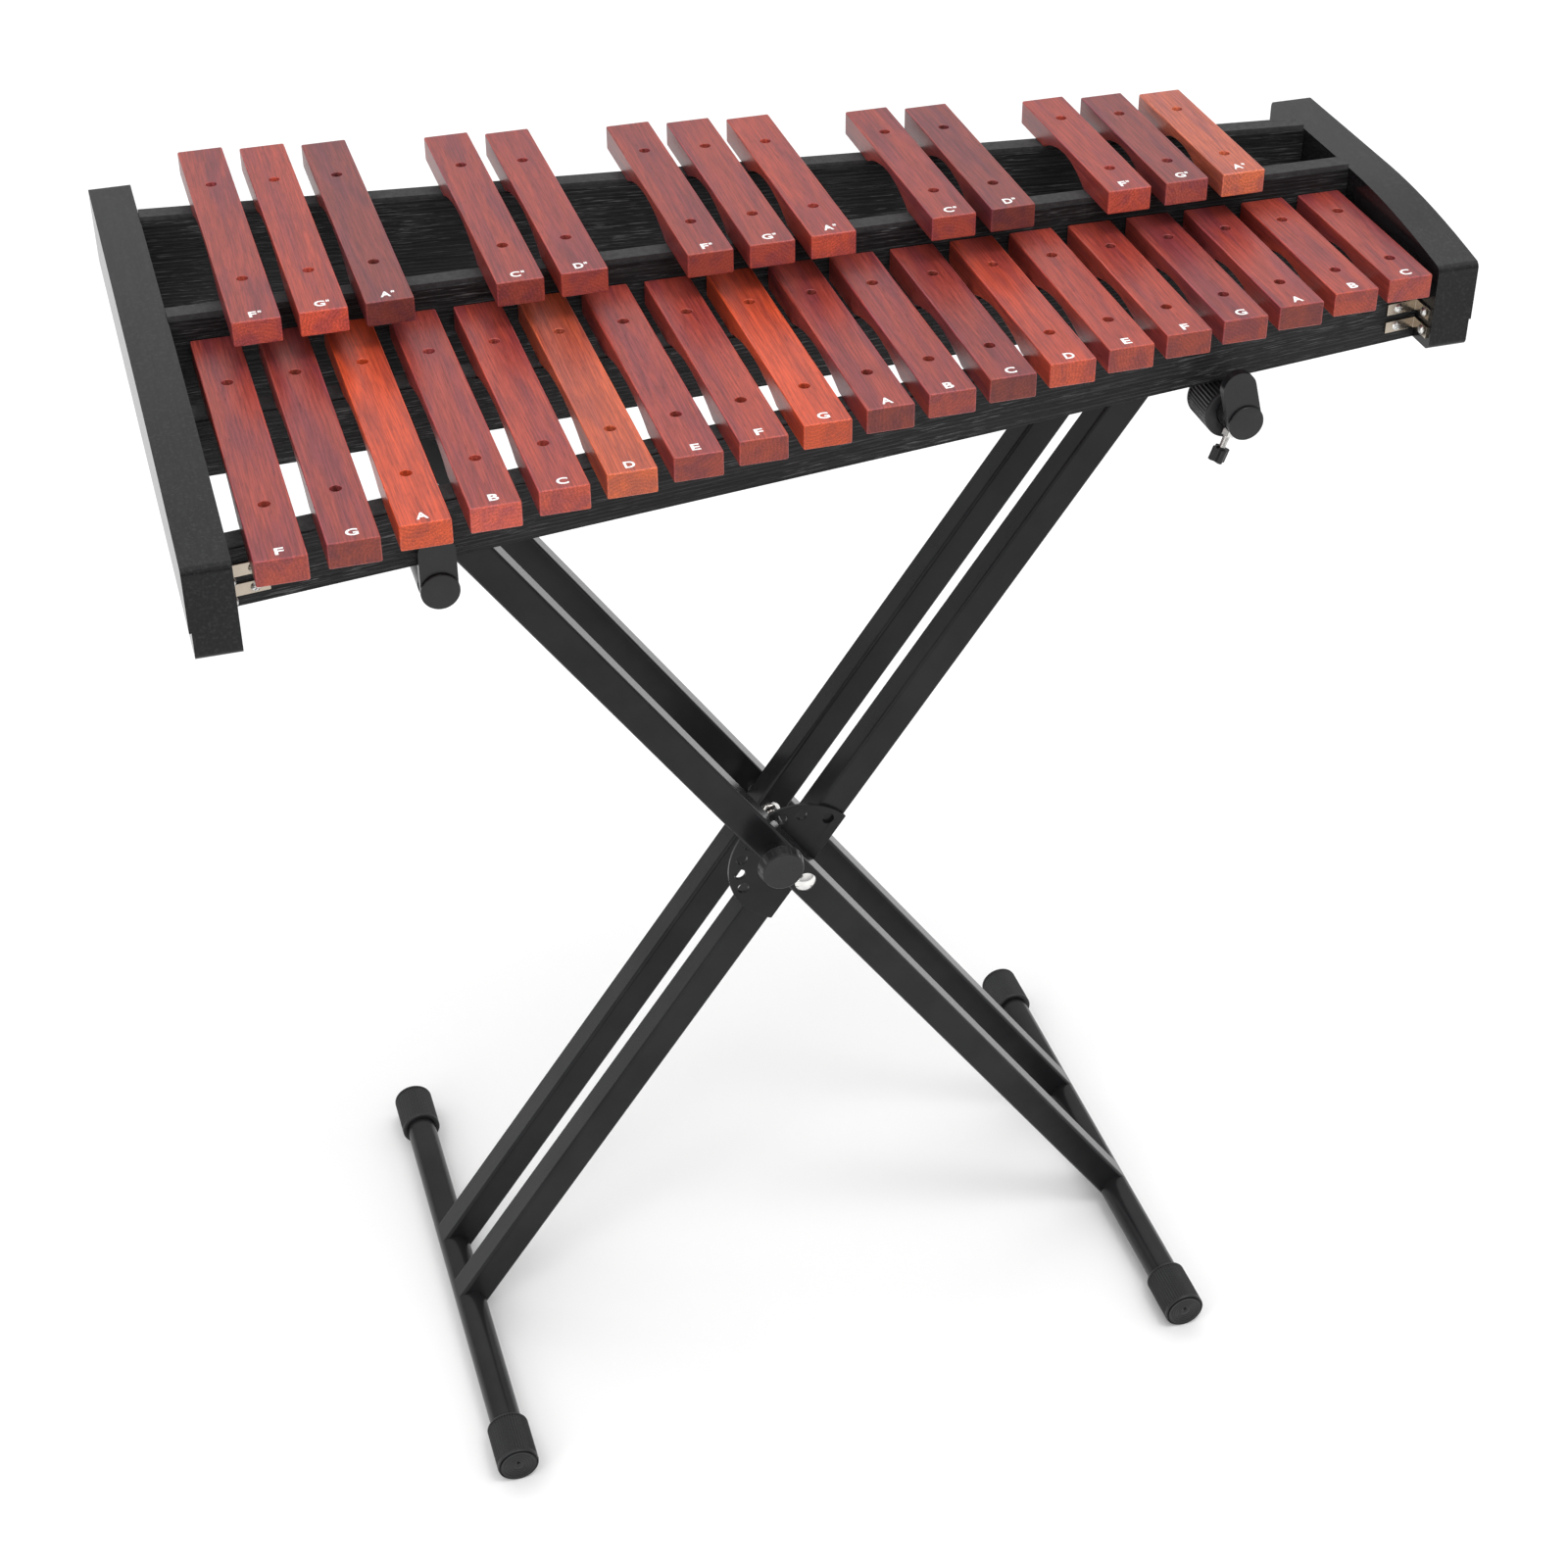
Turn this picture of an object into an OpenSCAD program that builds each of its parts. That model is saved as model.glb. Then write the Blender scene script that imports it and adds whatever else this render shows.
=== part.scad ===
// Thirty-two note xylophone on a folding X-stand.
// Origin: on the floor, under the middle of the instrument's length and depth.
// +X runs towards the high notes, -Y towards the player, +Z up. Millimetres.

/* [Instrument body] */
// Length over the two end boards
body_len = 903; // [860:1:950]
// Thickness of an end board
end_board_t = 30; // [22:1:36]
// Depth of the low-note end board, front to rear
low_board_depth = 525; // [500:1:560]
// Front edge of the high-note end board, measured from the middle
high_board_front = -121; // [-150:1:-100]
// Rear edge of the high-note end board, measured from the middle
high_board_rear = 152.5; // [140:0.5:180]
// Height of an end board at the rear
board_back_h = 76.5; // [76:0.5:90]
// Height of an end board at the front
board_front_h = 63; // [50:0.5:75]
// Thickness of a rail
rail_t = 16; // [10:0.5:20]
// Height of the two rails under the natural bars
rail_h = 40; // [30:0.5:50]
// Thickness of the felt strip on each rail
felt_t = 3.5; // [2:0.5:5]

/* [Bars] */
// Width of every bar
bar_w = 32; // [28:0.5:36]
// Thickness of every bar
bar_t = 17.5; // [14:0.5:20]
// Spacing of the natural bars
natural_pitch = 44; // [40:0.5:44]
// Spacing of the sharp bars' positions
sharp_pitch = 43.5; // [40:0.5:43.5]
// Length of the lowest natural bar
natural_len_low = 293; // [270:1:293]
// Length of the highest natural bar
natural_len_high = 146; // [130:1:146]
// Length of the lowest sharp bar
sharp_len_low = 283.5; // [260:0.5:290]
// Length of the highest sharp bar
sharp_len_high = 152.5; // [140:0.5:160]
// How far the sharp bars stand above the naturals
sharp_rise = 35.5; // [30:0.5:36]
// Radius of the support holes in the bars
bar_hole_r = 3.75; // [3.5:0.05:4.5]

/* [Stand] */
// Slope of the crossed arms, in degrees
arm_angle = 54.9; // [45:0.1:60]
// Distance from the pivot to the foot tube and to the support tube
arm_reach = 491.5; // [450:0.5:520]
// Width of the arm tubes
arm_w = 25; // [20:0.5:30]
// Depth of the arm tubes, front to rear
arm_d = 24; // [20:0.5:30]
// Clear gap between the two inner arms
inner_gap = 44; // [30:1:60]
// Clear gap between an inner arm and the outer arm beside it
pair_gap = 4.6; // [4.6:0.1:6]
// Radius of the round foot and support tubes
crossbar_r = 12.5; // [11:0.5:14]
// Length over the foot caps
foot_len = 445; // [400:1:480]
// Radius of the ribbed foot caps and support sleeves
sleeve_r = 16.5; // [15:0.5:19]
// How far the pivot stands to the right of the body's middle
stand_x = -10.5; // [-30:0.5:10]
// How far the pivot stands behind the body's middle
stand_y = 20.5; // [0:0.5:40]

/* [Lock] */
// Radius of the locking disc
disc_r = 54; // [50:0.5:56]
// Radius of the ring of locking holes
lock_ring_r = 45; // [40:0.5:45]
// Radius of the pull knob at its rear
knob_r = 18; // [14:0.5:20]
// Distance from the outer arm to the pull knob
knob_standoff = 19; // [18:0.5:24]

/* [Stops] */
// Height of a stop's paddle above its tube
paddle_h = 39; // [30:1:46]
// Width of a stop's paddle
paddle_w = 24; // [18:1:28]
// Lean of the high-note paddle towards the middle, in degrees
right_paddle_lean = 14; // [0:1:20]

/* [Hidden] */
$fn = 64;
NATURALS = 19;
// Position of each sharp bar between the naturals, counted from the lowest
SHARP_SLOTS = [0, 1, 2, 4, 5, 7, 8, 9, 11, 12, 14, 15, 16];

// Clearances
rest_gap = 0.3;
running_fit = 0.05;
overlap = 1;

// Stand heights. Each foot cap has a small flat where it bears on the floor.
cap_flat = 0.5;
foot_z = sleeve_r - cap_flat;
pivot_z = foot_z + arm_reach * sin(arm_angle);
support_z = pivot_z + arm_reach * sin(arm_angle);
arm_run = arm_reach * cos(arm_angle);
left_support_x = stand_x - arm_run;
right_support_x = stand_x + arm_run;

// Body heights
base_z = support_z + sleeve_r + rest_gap;
natural_z = base_z + rail_h + felt_t;
sharp_z = natural_z + sharp_rise;
sharp_rail_h = rail_h + sharp_rise;
inner_x = body_len / 2 - end_board_t;
board_front_low = -low_board_depth / 2;

// Bar rows. Every row line is straight from its lowest bar to its highest.
first_gap = 12;
natural_x0 = -inner_x + first_gap + bar_w / 2;
natural_x1 = natural_x0 + (NATURALS - 1) * natural_pitch;
natural_front_low = board_front_low;
natural_front_high = -125;
sharp_x0 = -369.5;
sharp_x1 = sharp_x0 + 16 * sharp_pitch;
sharp_front_low = -24.5;
sharp_front_high = -3.5;
// A bar rests at its nodal points, this share of its length from each end
nodal = 0.224;

function mix(a, b, t) = a + (b - a) * t;
function share(x, x0, x1) = (x - x0) / (x1 - x0);

function natural_x(i) = natural_x0 + i * natural_pitch;
function natural_t(i) = i / (NATURALS - 1);
function natural_len(i) = mix(natural_len_low, natural_len_high, natural_t(i));
function natural_front(i) = mix(natural_front_low, natural_front_high, natural_t(i));
function sharp_x(i) = sharp_x0 + SHARP_SLOTS[i] * sharp_pitch;
function sharp_t(i) = SHARP_SLOTS[i] / 16;
function sharp_len(i) = mix(sharp_len_low, sharp_len_high, sharp_t(i));
function sharp_front(i) = mix(sharp_front_low, sharp_front_high, sharp_t(i));

// Rail lines: [left x, left y, right x, right y] through the nodal points
LINES = [
    [natural_x0, natural_front_low + nodal * natural_len_low,
     natural_x1, natural_front_high + nodal * natural_len_high],
    [natural_x0, natural_front_low + (1 - nodal) * natural_len_low,
     natural_x1, natural_front_high + (1 - nodal) * natural_len_high],
    [sharp_x0, sharp_front_low + nodal * sharp_len_low,
     sharp_x1, sharp_front_high + nodal * sharp_len_high],
    [sharp_x0, sharp_front_low + (1 - nodal) * sharp_len_low,
     sharp_x1, sharp_front_high + (1 - nodal) * sharp_len_high]
];
function line_y(l, x) = mix(l[1], l[3], share(x, l[0], l[2]));
function line_angle(l) = atan2(l[3] - l[1], l[2] - l[0]);

// ---------- bars ----------

arch_low = 9.5;
arch_high = 7.5;
sharp_arch_low = 11.5;
sharp_arch_high = 10.5;
arch_share = 0.47;

module bar(len, arch) {
    chord = arch_share * len;
    arch_r = (chord * chord / 4 + arch * arch) / (2 * arch);
    difference() {
        translate([-bar_w / 2, 0, 0]) cube([bar_w, len, bar_t]);
        for (y = [nodal * len, (1 - nodal) * len])
            translate([0, y, -overlap]) cylinder(r = bar_hole_r, h = bar_t + 2 * overlap, $fn = 32);
        translate([-bar_w, len / 2, arch - arch_r])
            rotate([0, 90, 0]) cylinder(r = arch_r, h = 2 * bar_w, $fn = 128);
    }
}

module natural_bar(i) {
    color([0.62, 0.29, 0.24])
        translate([natural_x(i), natural_front(i), natural_z])
            bar(natural_len(i), mix(arch_low, arch_high, natural_t(i)));
}

module sharp_bar(i) {
    color([0.60, 0.30, 0.27])
        translate([sharp_x(i), sharp_front(i), sharp_z])
            bar(sharp_len(i), mix(sharp_arch_low, sharp_arch_high, sharp_t(i)));
}

// ---------- pins and felt ----------

pin_r = 1.6;
pin_depth = 15;
pin_below_top = 5;
pin_sleeve_r = 3.2;
pin_sleeve_h = 10;

// Places its children on the underside of every bar, over each nodal point
module at_bar_seats(rows = [0, 1, 2, 3]) {
    for (row = rows) {
        for (i = [0 : (row < 2 ? NATURALS : len(SHARP_SLOTS)) - 1]) {
            x = row < 2 ? natural_x(i) : sharp_x(i);
            z = row < 2 ? natural_z : sharp_z;
            translate([x, line_y(LINES[row], x), z]) children();
        }
    }
}

module pin_bore() {
    translate([0, 0, -felt_t - pin_depth])
        cylinder(r = pin_r, h = pin_depth + felt_t + overlap, $fn = 24);
}

module bar_pins() {
    color([0.75, 0.75, 0.76]) at_bar_seats()
        translate([0, 0, -felt_t - pin_depth])
            cylinder(r = pin_r, h = pin_depth + felt_t + bar_t - pin_below_top, $fn = 24);
}

module pin_sleeves() {
    color([0.10, 0.10, 0.10]) at_bar_seats() difference() {
        cylinder(r = pin_sleeve_r, h = pin_sleeve_h, $fn = 24);
        translate([0, 0, -overlap]) cylinder(r = pin_r, h = pin_sleeve_h + 2 * overlap, $fn = 24);
    }
}

module felt_strips() {
    color([0.16, 0.16, 0.17]) difference() {
        for (row = [0 : 3])
            rail_shape(LINES[row], rail_t - 2, (row < 2 ? natural_z : sharp_z) - felt_t, felt_t);
        at_bar_seats() pin_bore();
    }
}

// ---------- rails ----------

// A board on edge between the two end boards, along one rail line
module rail_shape(l, t, z, h, into_board = 0) {
    x = inner_x + into_board;
    half = t / 2 / cos(line_angle(l));
    translate([0, 0, z]) linear_extrude(h) polygon([
        [-x, line_y(l, -x) - half], [x, line_y(l, x) - half],
        [x, line_y(l, x) + half], [-x, line_y(l, -x) + half]
    ]);
}

// The two middle rails are let into housings in the end boards
housing = 6;

module rail(row) {
    middle = row == 1 || row == 2;
    color([0.09, 0.09, 0.09]) difference() {
        rail_shape(LINES[row], rail_t, base_z, row < 2 ? rail_h : sharp_rail_h, middle ? housing : 0);
        at_bar_seats([row]) pin_bore();
        if (!middle) at_brackets() at_rail_screw() screw_bore();
    }
}

module natural_front_rail() { rail(0); }
module natural_rear_rail() { rail(1); }
module sharp_front_rail() { rail(2); }
module sharp_rear_rail() { rail(3); }

// ---------- end boards ----------

board_edge_r = 5;
board_rear_bevel = 2;
// The slope starts this share of the depth behind the front edge
slope_share = 0.52;
// How much of the slope's drop is round, and the rest grows with the square of the distance
slope_round = 0.55;
slope_steps = 16;
// A shallow step along the foot of the outer side
rebate = 1.5;
rebate_h = 20;

// Side outline: level at the rear, then an easy slope down to the front
module board_outline(front, rear) {
    bend = mix(front, rear, slope_share);
    function drop(t) = slope_round * (1 - cos(90 * t)) + (1 - slope_round) * t * t;
    function top(t) = mix(board_back_h, board_front_h, drop(t));
    union() {
        polygon(concat(
            [[front, board_edge_r], [front + board_edge_r, 0]],
            [[rear - board_rear_bevel, 0], [rear, board_rear_bevel]],
            [[rear, board_back_h - board_edge_r], [rear - board_edge_r, board_back_h]],
            [for (i = [0 : slope_steps]) let (t = i / slope_steps)
                [mix(bend, front + board_edge_r, t), top(t)]],
            [[front, board_front_h - board_edge_r]]
        ));
        translate([front + board_edge_r, board_front_h - board_edge_r]) circle(r = board_edge_r);
        translate([front + board_edge_r, board_edge_r]) circle(r = board_edge_r);
        translate([rear - board_edge_r, board_back_h - board_edge_r]) circle(r = board_edge_r);
    }
}

// side is -1 for the low-note end and 1 for the high-note end
module end_board(side, front, rear) {
    color([0.10, 0.10, 0.10]) difference() {
        translate([side * (inner_x + end_board_t / 2) - end_board_t / 2, 0, base_z])
            rotate([90, 0, 90]) linear_extrude(end_board_t) board_outline(front, rear);
        translate([side * body_len / 2 - (side > 0 ? rebate : overlap), front - overlap,
                   base_z - overlap])
            cube([rebate + overlap, rear - front + 2 * overlap, rebate_h + overlap]);
        for (row = [1, 2])
            rail_shape(LINES[row], rail_t, base_z - overlap,
                       (row < 2 ? rail_h : sharp_rail_h) + overlap, housing);
        at_brackets() at_board_screw() screw_bore();
    }
}

module left_end_board() { end_board(-1, board_front_low, -board_front_low); }
module right_end_board() { end_board(1, high_board_front, high_board_rear); }

// ---------- corner brackets ----------

bracket_t = 1.6;
bracket_h = 8.5;
bracket_rail_leg = 25;
bracket_board_leg = 20;
bracket_heights = [12, 25.5];
screw_r = 1.6;
screw_len = 12;
screw_head_r = 3.4;
screw_head_h = 2.2;
// The cross recess in a screw head
recess_len = 4;
recess_w = 0.8;
recess_depth = 1;
rail_screw_at = 16;
board_screw_at = 13;

// Places its children at each corner of the front and rear rails. The children are drawn for the
// front left corner: the rail runs along +X at angle $lean, and the end board along -Y.
module at_brackets() {
    for (h = bracket_heights, sx = [-1, 1], row = [0, 3]) {
        l = LINES[row];
        sy = row == 0 ? 1 : -1;
        $lean = -sx * sy * line_angle(l);
        face = line_y(l, sx * inner_x) - sy * rail_t / 2 / cos(line_angle(l));
        translate([sx * inner_x, face, base_z + h])
            mirror([sx > 0 ? 1 : 0, 0, 0]) mirror([0, sy < 0 ? 1 : 0, 0]) children();
    }
}

module bracket() {
    rail_end = bracket_rail_leg * [cos($lean), sin($lean)];
    inward = bracket_t * [sin($lean), -cos($lean)];
    inner_y = -bracket_t * (1 - sin($lean)) / cos($lean);
    difference() {
        translate([0, 0, -bracket_h / 2]) linear_extrude(bracket_h) polygon([
            [0, 0], rail_end, rail_end + inward, [bracket_t, inner_y],
            [bracket_t, -bracket_board_leg], [0, -bracket_board_leg]
        ]);
        at_rail_screw() screw_bore();
        at_board_screw() screw_bore();
    }
}

// Moves to the screw that goes through the bracket into the rail
module at_rail_screw() {
    rotate($lean) translate([rail_screw_at, -bracket_t, 0]) rotate([-90, 0, 0]) children();
}

// Moves to the screw that goes through the bracket into the end board
module at_board_screw() {
    translate([bracket_t, -board_screw_at, 0]) rotate([0, -90, 0]) children();
}

module screw_bore() {
    translate([0, 0, -overlap]) cylinder(r = screw_r, h = screw_len + overlap, $fn = 24);
}

// A pan-head screw with a cross recess, pointing along +Z
module screw() {
    dome_r = (screw_head_r * screw_head_r + screw_head_h * screw_head_h) / (2 * screw_head_h);
    cylinder(r = screw_r, h = screw_len, $fn = 24);
    difference() {
        intersection() {
            translate([0, 0, dome_r - screw_head_h]) sphere(r = dome_r, $fn = 48);
            translate([0, 0, -screw_head_h]) cylinder(r = screw_head_r + overlap, h = screw_head_h);
        }
        for (a = [45, 135])
            rotate(a) translate([-recess_len / 2, -recess_w / 2, -screw_head_h - overlap])
                cube([recess_len, recess_w, recess_depth + overlap]);
    }
}

module corner_brackets() {
    color([0.72, 0.72, 0.72]) at_brackets() bracket();
}

module bracket_screws() {
    color([0.78, 0.78, 0.78]) at_brackets() {
        at_rail_screw() screw();
        at_board_screw() screw();
    }
}

// ---------- stand arms ----------

arm_wall = 1.8;
arm_corner_r = 2.5;
pivot_r = 4;
inner_face = inner_gap / 2;
outer_face = inner_face + arm_d + pair_gap;

module rounded_rect(w, h, r) {
    union() {
        square([w - 2 * r, h], center = true);
        square([w, h - 2 * r], center = true);
        for (x = [-1, 1], y = [-1, 1])
            translate([x * (w / 2 - r), y * (h / 2 - r)]) circle(r = r, $fn = 32);
    }
}

// Moves to the pivot, on the stand's own middle plane
module at_pivot() {
    translate([stand_x, stand_y, pivot_z]) children();
}

// One rectangular tube between the two crossbars, coped to fit round them.
// slope is its angle in the XZ plane and face the distance of its near side from the middle plane.
module arm(slope, face, side, bolt_r) {
    at_pivot() rotate([0, -slope, 0]) difference() {
        translate([-arm_reach, side * (face + arm_d / 2), 0]) rotate([90, 0, 90])
            linear_extrude(2 * arm_reach) difference() {
                rounded_rect(arm_d, arm_w, arm_corner_r);
                rounded_rect(arm_d - 2 * arm_wall, arm_w - 2 * arm_wall, arm_corner_r - arm_wall);
            }
        for (x = [-arm_reach, arm_reach])
            translate([x, 0, 0]) rotate([90, 0, 0])
                cylinder(r = crossbar_r, h = foot_len, center = true, $fn = 96);
        rotate([90, 0, 0]) cylinder(r = bolt_r, h = foot_len, center = true, $fn = 32);
    }
}

module outer_arms() {
    color([0.13, 0.13, 0.13]) {
        difference() {
            arm(180 - arm_angle, outer_face, -1, pivot_r);
            at_lock() rotate([90, 0, 0])
                cylinder(r = barrel_r, h = 2 * arm_d + overlap, center = true, $fn = 48);
        }
        arm(180 - arm_angle, outer_face, 1, pivot_r);
    }
}

module inner_arms() {
    color([0.13, 0.13, 0.13]) for (side = [-1, 1])
        arm(arm_angle, inner_face, side, pivot_r + running_fit);
}

// ---------- foot tubes, support tubes and their rubber ----------

crossbar_wall = 2;
crossbar_bore = crossbar_r - crossbar_wall;
cap_end = 4;
cap_len = 42;
cap_hole_r = 1.5;
// The feet reach a little further to the front than to the rear
foot_lead = 5;
foot_front = stand_y - foot_lead - foot_len / 2;
foot_rear = stand_y - foot_lead + foot_len / 2;

// Support tubes end behind the stops at the front, and past the last rail at the rear
left_support_front = -190.5;
left_support_rear = 208;
right_support_front = -143.5;
right_support_rear = 143;
// Front and rear rubber sleeves on the support tubes: [start, end]
left_sleeves = [[168, 205]];
right_sleeves = [[102, 140]];
// The low-note front rail bears on a small pad, hidden by the stop's paddle
rest_pad_w = 14;
rest_pad_from = -190;
rest_pad_to = -177;
// The high-note front sleeve is larger, and its centre is off the tube's
big_sleeve_r = 18.5;
big_sleeve_dx = -2;
big_sleeve_dz = -2.4;
big_sleeve = [-131.5, -98];

thumb_r = 2.5;
nut_r = 4.6;
nut_h = 4;
left_thumb_y = -148;
right_thumb_y = -136.5;
left_thumb_lean = 90;
right_thumb_lean = -20;

// A solid bar along Y from y0 to y1
module along_y(x, z, r, y0, y1, fn = 64) {
    translate([x, y1, z]) rotate([90, 0, 0]) cylinder(r = r, h = y1 - y0, $fn = fn);
}

module round_tube(x, z, y0, y1) {
    difference() {
        along_y(x, z, crossbar_r, y0, y1, 96);
        along_y(x, z, crossbar_bore, y0 - overlap, y1 + overlap, 96);
    }
}

// Moves to a thumb screw's place: +Z then points out of the support tube
module at_thumb(x, y, lean) {
    translate([x, y, support_z]) rotate([0, 180 - lean, 0]) children();
}

// A support tube with the tapped nut for its thumb screw
module support_tube(x, y0, y1, thumb_y, lean) {
    difference() {
        union() {
            round_tube(x, support_z, y0, y1);
            difference() {
                at_thumb(x, thumb_y, lean)
                    cylinder(r = nut_r, h = crossbar_r + nut_h, $fn = 6);
                along_y(x, support_z, crossbar_r - crossbar_wall / 2, y0, y1);
            }
        }
        at_thumb(x, thumb_y, lean) cylinder(r = thumb_r + running_fit, h = 2 * crossbar_r, $fn = 32);
    }
}

module outer_crossbars() {
    color([0.13, 0.13, 0.13]) {
        round_tube(stand_x + arm_run, foot_z, foot_front + cap_end, foot_rear - cap_end);
        support_tube(left_support_x, left_support_front, left_support_rear,
                     left_thumb_y, left_thumb_lean);
    }
}

module inner_crossbars() {
    color([0.13, 0.13, 0.13]) {
        round_tube(stand_x - arm_run, foot_z, foot_front + cap_end, foot_rear - cap_end);
        support_tube(right_support_x, right_support_front, right_support_rear,
                     right_thumb_y, right_thumb_lean);
    }
}

// A closed rubber cap over one end of a foot tube, flat underneath where it bears on the floor
module foot_cap(x, end, inward) {
    lo = min(end, end + inward * cap_len);
    hi = max(end, end + inward * cap_len);
    difference() {
        along_y(x, foot_z, sleeve_r, lo, hi);
        along_y(x, foot_z, crossbar_r, inward > 0 ? lo + cap_end : lo - overlap,
                inward > 0 ? hi + overlap : hi - cap_end, 96);
        along_y(x, foot_z, cap_hole_r, lo - overlap, hi + overlap, 24);
        translate([x - sleeve_r, lo - overlap, -sleeve_r])
            cube([2 * sleeve_r, hi - lo + 2 * overlap, sleeve_r]);
    }
}

module support_sleeve(x, span) {
    difference() {
        along_y(x, support_z, sleeve_r, span[0], span[1]);
        along_y(x, support_z, crossbar_r, span[0] - overlap, span[1] + overlap, 96);
    }
}

module rest_pad() {
    intersection() {
        support_sleeve(left_support_x, [rest_pad_from, rest_pad_to]);
        translate([left_support_x - rest_pad_w / 2, rest_pad_from - overlap, support_z])
            cube([rest_pad_w, rest_pad_to - rest_pad_from + 2 * overlap, sleeve_r + overlap]);
    }
}

module big_support_sleeve() {
    difference() {
        along_y(right_support_x + big_sleeve_dx, support_z + big_sleeve_dz, big_sleeve_r,
                big_sleeve[0], big_sleeve[1]);
        along_y(right_support_x, support_z, crossbar_r,
                big_sleeve[0] - overlap, big_sleeve[1] + overlap, 96);
    }
}

module outer_rubber_sleeves() {
    color([0.09, 0.09, 0.09]) {
        foot_cap(stand_x + arm_run, foot_front, 1);
        foot_cap(stand_x + arm_run, foot_rear, -1);
        for (span = left_sleeves) support_sleeve(left_support_x, span);
        rest_pad();
    }
}

module inner_rubber_sleeves() {
    color([0.09, 0.09, 0.09]) {
        foot_cap(stand_x - arm_run, foot_front, 1);
        foot_cap(stand_x - arm_run, foot_rear, -1);
        for (span = right_sleeves) support_sleeve(right_support_x, span);
        big_support_sleeve();
    }
}

// ---------- pivot and lock ----------

bolt_head_r = 7;
bolt_head_h = 4;
bolt_nut_r = 7.5;
bolt_nut_h = 6.5;
bolt_end = 2;
rear_bolt_from = 0;
washer_r = 10;
disc_t = 3;
disc_hole_r = 4.5;
// Angles of the locking holes. The plunger's own hole is at 180 - arm_angle.
DISC_HOLES = [54.5, 84, 104.5, 180 - arm_angle, 146, 164, 182, 200];
barrel_r = 6.5;
barrel_bore = 3.95;
plunger_r = 3.9;
plunger_gap = 0.6;
knob_t = 9.5;
knob_front_r = 16;
knob_gap = 2;
front_face = outer_face + arm_d;

// Two bolts on one axis, each through an outer arm and the inner arm beside it. The rear one's
// threaded end stands out between the inner arms.
module pivot_bolt() {
    color([0.80, 0.80, 0.82]) at_pivot() {
        rotate([90, 0, 0]) carriage_bolt(front_face, inner_face - bolt_nut_h - bolt_end);
        rotate([-90, 0, 0]) carriage_bolt(front_face, rear_bolt_from);
        // Washer between the rear inner and outer arms
        translate([0, outer_face, 0]) rotate([90, 0, 0]) difference() {
            cylinder(r = washer_r, h = pair_gap - rest_gap);
            translate([0, 0, -overlap]) cylinder(r = pivot_r, h = pair_gap + overlap, $fn = 32);
        }
    }
}

// A bolt along +Z, from z = tail to a dome head at z = head, with its nut behind the inner arm
module carriage_bolt(head, tail) {
    dome_r = (bolt_head_r * bolt_head_r + bolt_head_h * bolt_head_h) / (2 * bolt_head_h);
    translate([0, 0, tail]) cylinder(r = pivot_r, h = head - tail, $fn = 32);
    intersection() {
        translate([0, 0, head + bolt_head_h - dome_r]) sphere(r = dome_r);
        translate([0, 0, head]) cylinder(r = bolt_head_r + overlap, h = bolt_head_h + overlap);
    }
    translate([0, 0, inner_face - rest_gap - bolt_nut_h]) difference() {
        cylinder(r = bolt_nut_r, h = bolt_nut_h, $fn = 6);
        translate([0, 0, -overlap]) cylinder(r = pivot_r, h = bolt_nut_h + 2 * overlap, $fn = 32);
    }
}

// Moves to the lock's axis on the front outer arm
module at_lock() {
    at_pivot() translate([-lock_ring_r * cos(arm_angle), -front_face, lock_ring_r * sin(arm_angle)])
        children();
}

// A plate welded to the front inner arm, with a ring of holes for the plunger
module lock_disc() {
    color([0.12, 0.12, 0.12]) at_pivot()
        translate([0, -inner_face - arm_d, 0]) rotate([90, 0, 0]) difference() {
            intersection() {
                cylinder(r = disc_r, h = disc_t, $fn = 96);
                rotate(arm_angle) translate([-2 * disc_r, -arm_w / 2, -overlap])
                    cube([4 * disc_r, 2 * disc_r, disc_t + 2 * overlap]);
            }
            translate([0, 0, -overlap])
                cylinder(r = pivot_r + running_fit, h = disc_t + 2 * overlap, $fn = 32);
            for (a = DISC_HOLES)
                rotate(a) translate([lock_ring_r, 0, -overlap])
                    cylinder(r = disc_hole_r, h = disc_t + 2 * overlap, $fn = 32);
        }
}

// The plunger's guide, fixed through the front outer arm
module lock_barrel() {
    barrel_out = knob_standoff - knob_gap;
    color([0.16, 0.16, 0.16]) at_lock() rotate([90, 0, 0]) difference() {
        translate([0, 0, -arm_d]) cylinder(r = barrel_r, h = arm_d + barrel_out, $fn = 48);
        translate([0, 0, -arm_d - overlap])
            cylinder(r = barrel_bore, h = arm_d + barrel_out + 2 * overlap, $fn = 32);
    }
}

module lock_plunger() {
    tip = arm_d + pair_gap - disc_t - plunger_gap;
    color([0.75, 0.75, 0.76]) at_lock() rotate([90, 0, 0])
        translate([0, 0, -tip]) cylinder(r = plunger_r, h = tip + knob_standoff, $fn = 32);
}

module lock_knob() {
    color([0.11, 0.11, 0.11]) at_lock() rotate([90, 0, 0]) translate([0, 0, knob_standoff])
        cylinder(r1 = knob_r, r2 = knob_front_r, h = knob_t, $fn = 96);
}

// ---------- stops ----------

paddle_t = 6.2;
stop_cap_t = 2.2;
rod_len = 95;
rod_r = crossbar_bore - running_fit;
left_stop_back = -193.8;
right_stop_back = -144.2;

module stop_rod(x, back) {
    color([0.14, 0.14, 0.14]) along_y(x, support_z, rod_r, back, back + rod_len, 64);
}

// A rubber paddle, round at both ends, with a round boss at the foot of its front
module stop_pad(x, back, lean) {
    r = paddle_w / 2;
    color([0.08, 0.08, 0.08]) translate([x, back, support_z]) rotate([90, -lean, 0]) {
        union() {
            translate([-r, 0, 0]) cube([paddle_w, paddle_h - r, paddle_t]);
            cylinder(r = r, h = paddle_t + stop_cap_t);
            translate([0, paddle_h - r, 0]) cylinder(r = r, h = paddle_t);
        }
    }
}

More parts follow.
